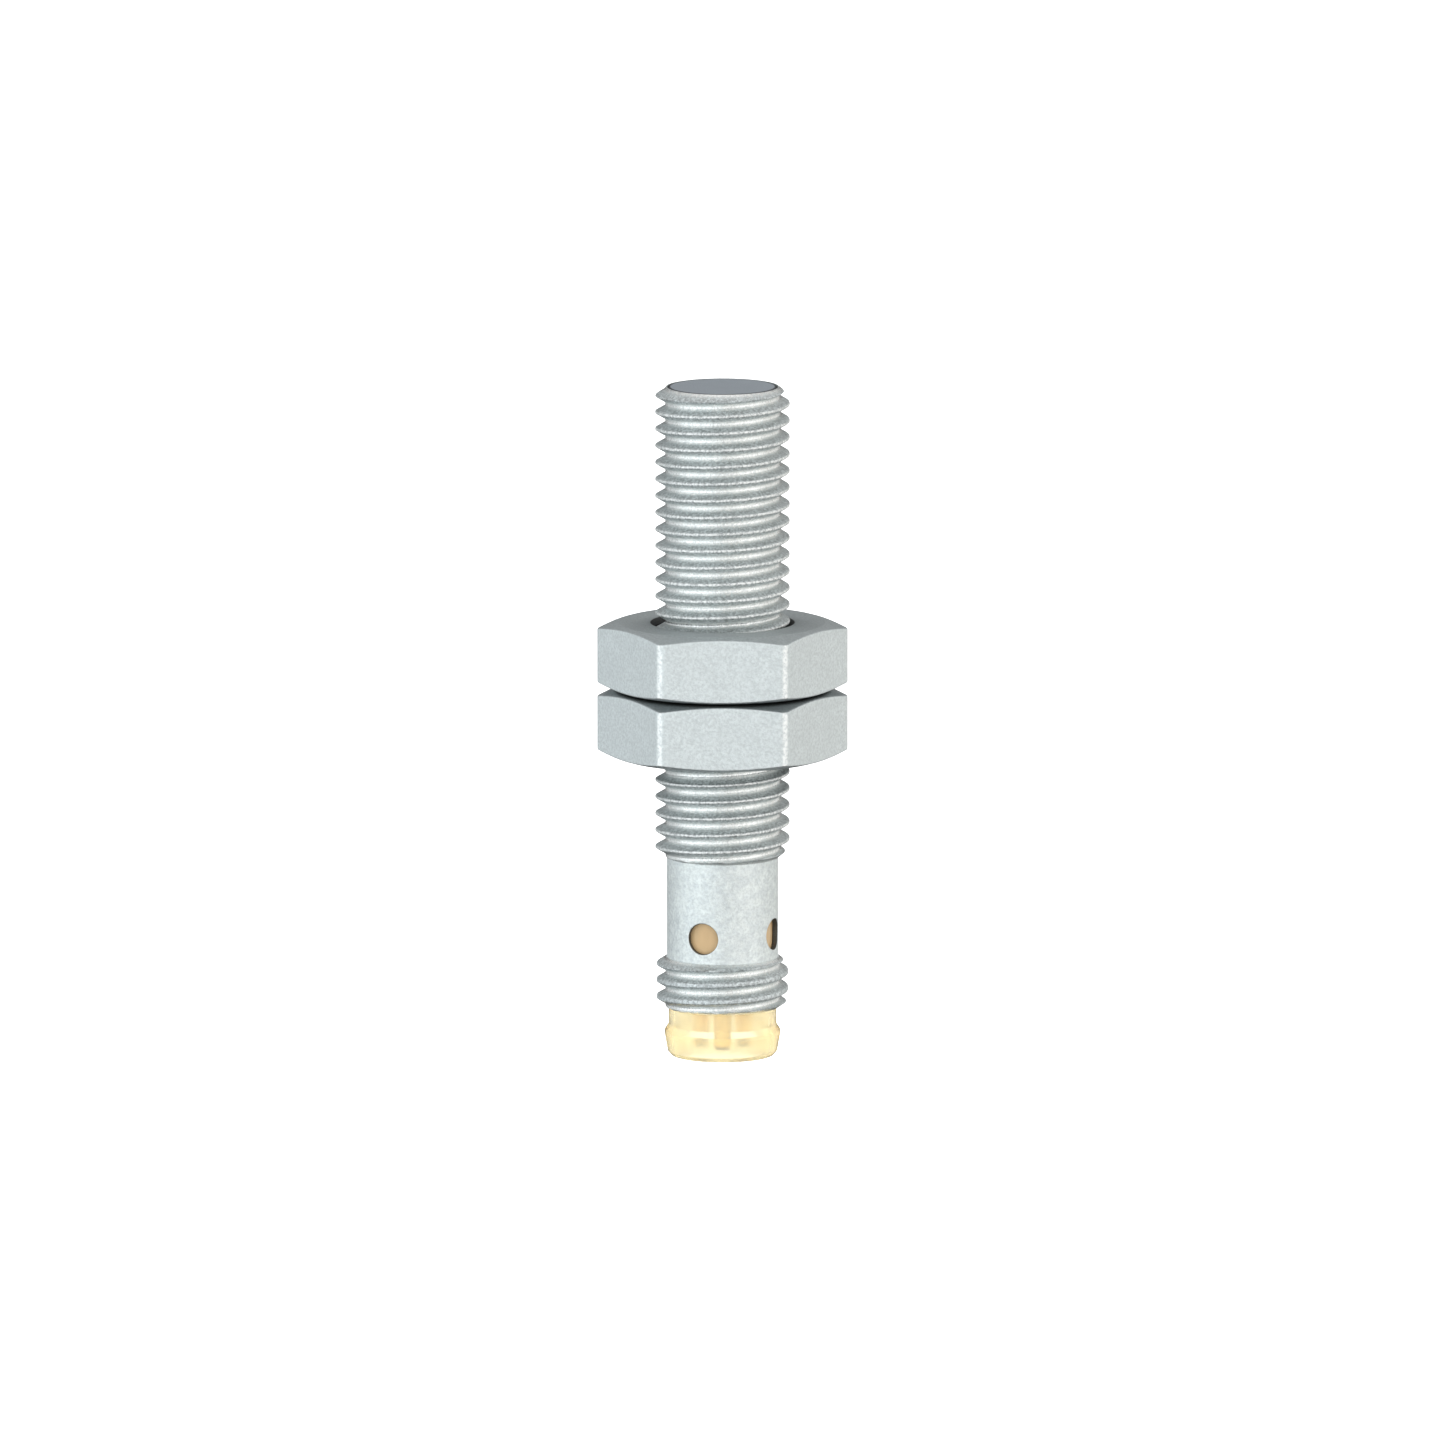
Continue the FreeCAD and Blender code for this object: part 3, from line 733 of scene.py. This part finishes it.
def make_sleeve(tree, material):
    sizes = bpy.context.scene.sensor_sleeve
    start = float(sleeve_angles()[0])
    bm = bmesh.new()
    shared = {"Pitch": sizes.pitch, "Root radius": sizes.root, "Rounding": sizes.rounding,
              "Side": 1.0, "Start angle": start, "Columns": COLUMNS,
              "Rows per pitch": sizes.rows_per_pitch, "Material": material,
              "Top radius": sizes.end_radius, "Bottom radius": sizes.end_radius}
    reach = sizes.crest - sizes.end_radius
    main = {"Crest radius": sizes.crest, "Crest width": sizes.crest_width, "Top": 0.0,
            "Bottom": -sizes.main_end, "Top slope": reach / sizes.front_chamfer,
            "Bottom slope": reach / sizes.front_chamfer}
    reach = sizes.rear_crest - sizes.end_radius
    rear_width = sizes.crest_width + 2 * (sizes.crest - sizes.rear_crest) * FLANK
    rear = {"Crest radius": sizes.rear_crest, "Crest width": rear_width,
            "Top": -sizes.rear_start, "Bottom": SLEEVE_LOW.z,
            "Top slope": reach / sizes.rear_chamfer, "Bottom slope": reach / sizes.rear_chamfer}
    for thread in (main, rear):
        mesh = grow(tree, {**shared, **thread})
        bm.from_mesh(mesh)
        bpy.data.meshes.remove(mesh)

    band = sizes.window_band / 2
    band_top = band - sizes.window_depth
    band_bottom = -band - sizes.window_depth
    angles = sleeve_angles()
    edge = 0.03 * MM
    add_rings(bm, rounded([(sizes.end_radius, -sizes.main_end, 0),
                           (sizes.plain_radius, -sizes.main_end, edge),
                           (sizes.plain_radius, band_top, 0)]), angles)
    add_rings(bm, rounded([(sizes.plain_radius, band_bottom, 0),
                           (sizes.plain_radius, -sizes.rear_start, edge),
                           (sizes.end_radius, -sizes.rear_start, 0)]), angles)
    add_rings(bm, rounded([(sizes.end_radius, SLEEVE_LOW.z, 0), (sizes.bore, SLEEVE_LOW.z, edge),
                           (sizes.bore, band_bottom, 0)]), angles)
    add_rings(bm, rounded([(sizes.bore, band_top, 0), (sizes.bore, -sizes.seat_depth, 0),
                           (sizes.seat, -sizes.seat_depth, 0), (sizes.seat, 0.0, edge / 2),
                           (sizes.end_radius, 0.0, 0)]), angles)
    for quarter in range(4):
        add_window_quarter(bm, sizes, window_angle() + quarter * math.pi / 2, band)
    return close_mesh(bm, "sleeve_housing")


def nut_outline(across_flats, corner):
    """Angles and radii of a hexagon with rounded corners, closer together at the corners."""
    flat = across_flats / 2
    inner = (flat - corner) / math.cos(math.pi / 6)
    tangent = math.atan((flat - corner) * FLANK / flat)
    share = np.linspace(-1, 1, 9)
    corner_turn = np.linspace(tangent, math.pi / 6, 4)
    half = np.concatenate([share * tangent * 0.97, corner_turn])
    offsets = np.concatenate([-corner_turn[:-1][::-1], half])
    lean = np.maximum(math.pi / 6 - np.abs(offsets), 0)
    rounded_radius = inner * np.cos(lean) + np.sqrt(
        np.maximum(corner ** 2 - (inner * np.sin(lean)) ** 2, 0))
    radii = np.where(np.abs(offsets) <= tangent, flat / np.cos(offsets), rounded_radius)
    turns = np.concatenate([offsets + math.pi / 3 * i - math.pi / 2 for i in range(6)])
    return turns, np.tile(radii, 6)


def make_nut(tree, material, node, body):
    sizes = bpy.context.scene.sensor_nuts
    thread = bpy.context.scene.sensor_sleeve
    low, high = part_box(node)
    turns, radii = nut_outline(high.y - low.y, sizes.corner)
    drop = (radii - sizes.face_circle) * math.tan(sizes.face_slope)
    outline = rounded([
        (sizes.sink, high.z, 0),
        (sizes.face_circle, high.z, sizes.face_edge),
        (radii, high.z - drop, sizes.side_edge),
        (radii, low.z + drop, sizes.side_edge),
        (sizes.face_circle, low.z, sizes.face_edge),
        (sizes.sink, low.z, 0),
    ])
    count = len(turns)
    even = turns[0] + np.arange(count) * 2 * math.pi / count
    rows = [(*outline[0], even)] + [(*row, turns) for row in outline[1:-1]]
    rows.append((*outline[-1], even))
    bm = bmesh.new()
    add_rings(bm, rows, turns)
    mesh = grow(tree, {
        "Pitch": thread.pitch, "Crest radius": sizes.major, "Root radius": sizes.minor,
        "Crest width": sizes.major_width, "Rounding": thread.rounding / 2, "Side": -1.0,
        "Top": high.z, "Bottom": low.z, "Top radius": sizes.sink, "Top slope": -1.0,
        "Bottom radius": sizes.sink, "Bottom slope": -1.0, "Start angle": float(even[0]),
        "Columns": count, "Rows per pitch": sizes.rows_per_pitch, "Material": material})
    bm.from_mesh(mesh)
    bpy.data.meshes.remove(mesh)
    return close_mesh(bm, body + "_hexagon")


def make_cap():
    sizes = bpy.context.scene.sensor_cap
    rim = sizes.rim
    flange = CAP_HIGH.x
    bm = bmesh.new()
    add_rings(bm, rounded([
        (0.0, CAP_HIGH.z, 0),
        (flange, CAP_HIGH.z, rim),
        (flange, CAP_HIGH.z - sizes.flange, rim / 2),
        (sizes.body, CAP_HIGH.z - sizes.flange, 0),
        (sizes.body, CAP_LOW.z, rim),
        (sizes.cavity, CAP_LOW.z, rim),
        (sizes.cavity, CAP_HIGH.z - sizes.flange, 0),
        (0.0, CAP_HIGH.z - sizes.flange, 0),
    ]), lathe_angles())
    return close_mesh(bm, "sensing_face_cap")


def make_insert():
    """The plug's shell with its key, and the light guide above it inside the sleeve."""
    sizes = bpy.context.scene.sensor_insert
    soft = 0.08 * MM
    bottom = INSERT_LOW.z
    bead = INSERT_HIGH.x
    step = 2 * math.pi / COLUMNS
    turns = math.pi / 2 + (np.arange(COLUMNS) - COLUMNS // 2) * step
    key = slice(COLUMNS // 2 - 3, COLUMNS // 2 + 4)
    edge = math.asin(sizes.key_width / 2 / sizes.socket)
    turns[key] = math.pi / 2 + edge * np.array([-1, -0.97, -0.5, 0, 0.5, 0.97, 1])
    socket = np.full(COLUMNS, sizes.socket)
    keyed = socket.copy()
    inner = slice(COLUMNS // 2 - 2, COLUMNS // 2 + 3)
    keyed[inner] = (sizes.socket - sizes.key_height) / np.sin(turns[inner])
    bm = bmesh.new()
    add_rings(bm, rounded([
        (0.0, -sizes.guide_end, 0),
        (sizes.guide, -sizes.guide_end, soft),
        (sizes.guide, INSERT_HIGH.z, soft / 2),
        (sizes.barrel, INSERT_HIGH.z, soft),
        (sizes.barrel, SLEEVE_LOW.z, 0),
        (sizes.neck, SLEEVE_LOW.z, soft / 2),
        (sizes.neck, -sizes.neck_end, 2.5 * soft),
        (bead, -sizes.bead_start, soft),
        (bead, -sizes.bead_end, 2 * soft),
        (sizes.nose, -sizes.nose_start, 2 * soft),
        (sizes.nose - 2.75 * soft, bottom, 1.2 * soft),
        (sizes.socket, bottom, soft),
        (socket, -sizes.neck_end, 0),
        (keyed, -sizes.neck_end, 0),
        (keyed, -sizes.floor, 0),
        (0.0, -sizes.floor, 0),
    ]), turns)
    return close_mesh(bm, "plug_insert")


def make_pin(node):
    """A contact pin with a rounded nose, and the thin tail that is soldered to the board."""
    sizes = bpy.context.scene.sensor_pins
    insert = bpy.context.scene.sensor_insert
    low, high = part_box(node)
    x = (low.x + high.x) / 2
    y = (low.y + high.y) / 2
    tail_y = math.copysign(max(abs(y) - sizes.tail_shift, sizes.tail_clear), y)
    turns = np.arange(32) * 2 * math.pi / 32
    bm = bmesh.new()
    add_rings(bm, rounded([
        (0.0, -insert.guide_end, 0),
        (sizes.shank, -insert.guide_end, 0.06 * MM),
        (sizes.shank, -insert.floor, 0.04 * MM),
        (sizes.blade, -insert.floor, 0),
        (sizes.blade, low.z, 0.3 * MM),
        (0.0, low.z, 0),
    ]), turns, (x, y))
    add_rings(bm, [(0.0, high.z), (sizes.tail, high.z), (sizes.tail, -insert.guide_end),
                   (0.0, -insert.guide_end)], turns, (x, tail_y))
    return close_mesh(bm, node + "_gold")


# Operators

class SENSOR_OT_sleeve(Operator):
    """Make the threaded sleeve with its four windows"""
    bl_idname = "sensor.sleeve"
    bl_label = "Threaded sleeve"

    def execute(self, context):
        material = sleeve_plating()
        piece = make_sleeve(thread_tree(), material)
        place(piece, "threaded_sleeve", FIXED_BODY, "plated_metal", material)
        return {"FINISHED"}


class SENSOR_OT_nuts(Operator):
    """Make both hexagon lock nuts with their inner threads"""
    bl_idname = "sensor.nuts"
    bl_label = "Lock nuts"

    def execute(self, context):
        tree = thread_tree()
        for node, body in NUT_NODES.items():
            material = nut_plating(node)
            piece = make_nut(tree, material, node, body)
            place(piece, node, body, "plated_metal", material)
        return {"FINISHED"}


class SENSOR_OT_cap(Operator):
    """Make the plastic cap that closes the sensing end"""
    bl_idname = "sensor.cap"
    bl_label = "Sensing cap"

    def execute(self, context):
        place(make_cap(), "sensing_cap", FIXED_BODY, "sensing_plastic", cap_plastic())
        return {"FINISHED"}


class SENSOR_OT_plug(Operator):
    """Make the translucent plug insert and its gold contact pins"""
    bl_idname = "sensor.plug"
    bl_label = "Plug insert and pins"

    def execute(self, context):
        place(make_insert(), "connector_insert", FIXED_BODY, "amber_plastic", amber_plastic())
        gold = contact_gold()
        for node in PIN_NODES:
            place(make_pin(node), node, FIXED_BODY, "gold_contact", gold)
        return {"FINISHED"}


class SENSOR_OT_inner_parts(Operator):
    """Give the parts that are sealed inside the sleeve their finishes"""
    bl_idname = "sensor.inner_parts"
    bl_label = "Inner parts"

    def execute(self, context):
        for node, (name, tint, grain, *finish) in INNER_FINISHES.items():
            material = plain_finish(name, tint, grain * MM, *finish)
            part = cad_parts[node]
            part.data.materials.clear()
            part.data.materials.append(material)
        return {"FINISHED"}


def around(azimuth, elevation, distance, target):
    """A place seen from target at an azimuth from -Y towards +X, in degrees."""
    turn = math.radians(azimuth)
    rise = math.radians(elevation)
    way = Vector((math.sin(turn) * math.cos(rise), -math.cos(turn) * math.cos(rise),
                  math.sin(rise)))
    return target + way * distance


def add_softbox(name, azimuth, width, height, radiance, tint, target):
    """An evenly lit upright panel half a metre away, hidden from the camera."""
    light = bpy.data.lights.new(name, "AREA")
    light.shape = "RECTANGLE"
    light.size = width
    light.size_y = height
    light.energy = radiance * math.pi * width * height
    light.color = tint
    lamp = bpy.data.objects.new(name, light)
    bpy.context.scene.collection.objects.link(lamp)
    lamp.location = around(azimuth, 0, 0.5, target)
    lamp.rotation_euler = (target - lamp.location).to_track_quat("-Z", "Y").to_euler()
    lamp.visible_camera = False


def paper_finish(tint):
    """Bright paper, seen only from above so that the sensor's underside can be looked at."""
    finish = Finish("studio_paper")
    paper = finish.mix(finish.noise(0.6 * MM), shade_of(tint, 0.99), tint)
    finish.set(Base_Color=paper, Roughness=0.9, Emission_Color=paper, Emission_Strength=1.3)
    nodes, links = finish.tree.nodes, finish.tree.links
    clear = nodes.new("ShaderNodeBsdfTransparent")
    either = nodes.new("ShaderNodeMixShader")
    links.new(nodes.new("ShaderNodeNewGeometry").outputs["Backfacing"], either.inputs[0])
    links.new(finish.shader.outputs[0], either.inputs[1])
    links.new(clear.outputs[0], either.inputs[2])
    links.new(either.outputs[0], nodes["Material Output"].inputs["Surface"])
    return finish.material


def studio_room(scene):
    """A room that is dim below and brighter above, with a pale glow behind clear plastic."""
    world = bpy.data.worlds.new("studio_room")
    world.use_nodes = True
    nodes, links = world.node_tree.nodes, world.node_tree.links
    spot = nodes.new("ShaderNodeSeparateXYZ")
    links.new(nodes.new("ShaderNodeTexCoord").outputs["Generated"], spot.inputs[0])
    ramp = nodes.new("ShaderNodeValToRGB")
    shade = ramp.color_ramp
    shade.elements[0].color = (0.06, 0.06, 0.06, 1.0)
    for place_on, level in ((0.42, 0.08), (0.51, 0.09), (0.68, 0.14)):
        shade.elements.new(place_on).color = (level, level, level, 1.0)
    half = Sums(world.node_tree)
    links.new(half.add(half.times(spot.outputs["Z"], 0.5), 0.5), ramp.inputs[0])
    glow = nodes.new("ShaderNodeMix")
    glow.data_type = "RGBA"
    path = nodes.new("ShaderNodeLightPath")
    links.new(path.outputs["Is Transmission Ray"], glow.inputs["Factor"])
    links.new(ramp.outputs[0], glow.inputs[6])
    glow.inputs[7].default_value = (1.7, 1.67, 1.62, 1.0)
    links.new(glow.outputs[2], nodes["Background"].inputs["Color"])
    scene.world = world


class SENSOR_OT_stage(Operator):
    """Make the pale floor, the soft studio lights and the camera"""
    bl_idname = "sensor.stage"
    bl_label = "Stage"

    def execute(self, context):
        scene = context.scene
        settings = scene.sensor_stage
        scene.view_settings.view_transform = "Standard"
        target = Vector((0.0, 0.0, -settings.target_depth))

        mesh = bpy.data.meshes.new("studio_floor")
        reach, level = 6.0, CAD_BOX[0].z
        mesh.from_pydata([(-reach, -reach, level), (reach, -reach, level), (reach, reach, level),
                          (-reach, reach, level)], [], [(0, 1, 2, 3)])
        floor = bpy.data.objects.new("studio_floor", mesh)
        scene.collection.objects.link(floor)
        mesh.materials.append(paper_finish(settings.floor))
        floor.visible_glossy = False
        floor.visible_diffuse = False
        floor.visible_shadow = False

        studio_room(scene)
        for name, azimuth, width, radiance, tint in (
                ("back_left_softbox", -124, 0.5, 0.55, COOL),
                ("left_softbox", -52, 1.0, 1.22, COOL),
                ("front_softbox", 8, 0.26, 0.82, WHITE),
                ("right_softbox", 55, 0.65, 1.12, WHITE),
                ("side_softbox", 121, 0.65, 0.72, WARM)):
            add_softbox(name, azimuth, width, 0.8, radiance, tint, target)

        camera = bpy.data.cameras.new("studio_camera")
        camera.sensor_width = 36.0
        camera.lens = camera.sensor_width * settings.distance / settings.view_width
        camera.clip_start = 0.05
        camera.clip_end = 20.0
        eye = bpy.data.objects.new("studio_camera", camera)
        scene.collection.objects.link(eye)
        eye.location = around(math.degrees(settings.azimuth), math.degrees(settings.elevation),
                              settings.distance, target)
        eye.rotation_euler = (target - eye.location).to_track_quat("-Z", "Y").to_euler()
        scene.camera = eye
        return {"FINISHED"}


OPERATORS = [SENSOR_OT_stage, SENSOR_OT_sleeve, SENSOR_OT_nuts, SENSOR_OT_cap, SENSOR_OT_plug,
             SENSOR_OT_inner_parts]


class SENSOR_PT_panel(Panel):
    """Lists the sensor's pieces"""
    bl_idname = "SENSOR_PT_panel"
    bl_label = "Proximity sensor"
    bl_space_type = "VIEW_3D"
    bl_region_type = "UI"
    bl_category = "Sensor"

    def draw(self, context):
        for operator in OPERATORS:
            self.layout.operator(operator.bl_idname)
        for group in GROUPS:
            settings = getattr(context.scene, group)
            for name in settings.bl_rna.properties.keys():
                if name not in ("rna_type", "name"):
                    self.layout.prop(settings, name)


GROUPS = {"sensor_sleeve": SleeveSizes, "sensor_nuts": NutSizes, "sensor_cap": CapSizes,
          "sensor_insert": InsertSizes, "sensor_pins": PinSizes, "sensor_finishes": Finishes,
          "sensor_stage": StageSettings}


def register():
    for kind in [*GROUPS.values(), *OPERATORS, SENSOR_PT_panel]:
        bpy.utils.register_class(kind)
    for name, kind in GROUPS.items():
        setattr(bpy.types.Scene, name, PointerProperty(type=kind))


def unregister():
    for name in GROUPS:
        delattr(bpy.types.Scene, name)
    for kind in [SENSOR_PT_panel, *reversed(OPERATORS), *GROUPS.values()]:
        bpy.utils.unregister_class(kind)


def main():
    register()
    for operator in OPERATORS:
        group, name = operator.bl_idname.split(".")
        getattr(getattr(bpy.ops, group), name)()
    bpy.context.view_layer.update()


if __name__ == "__main__":
    main()
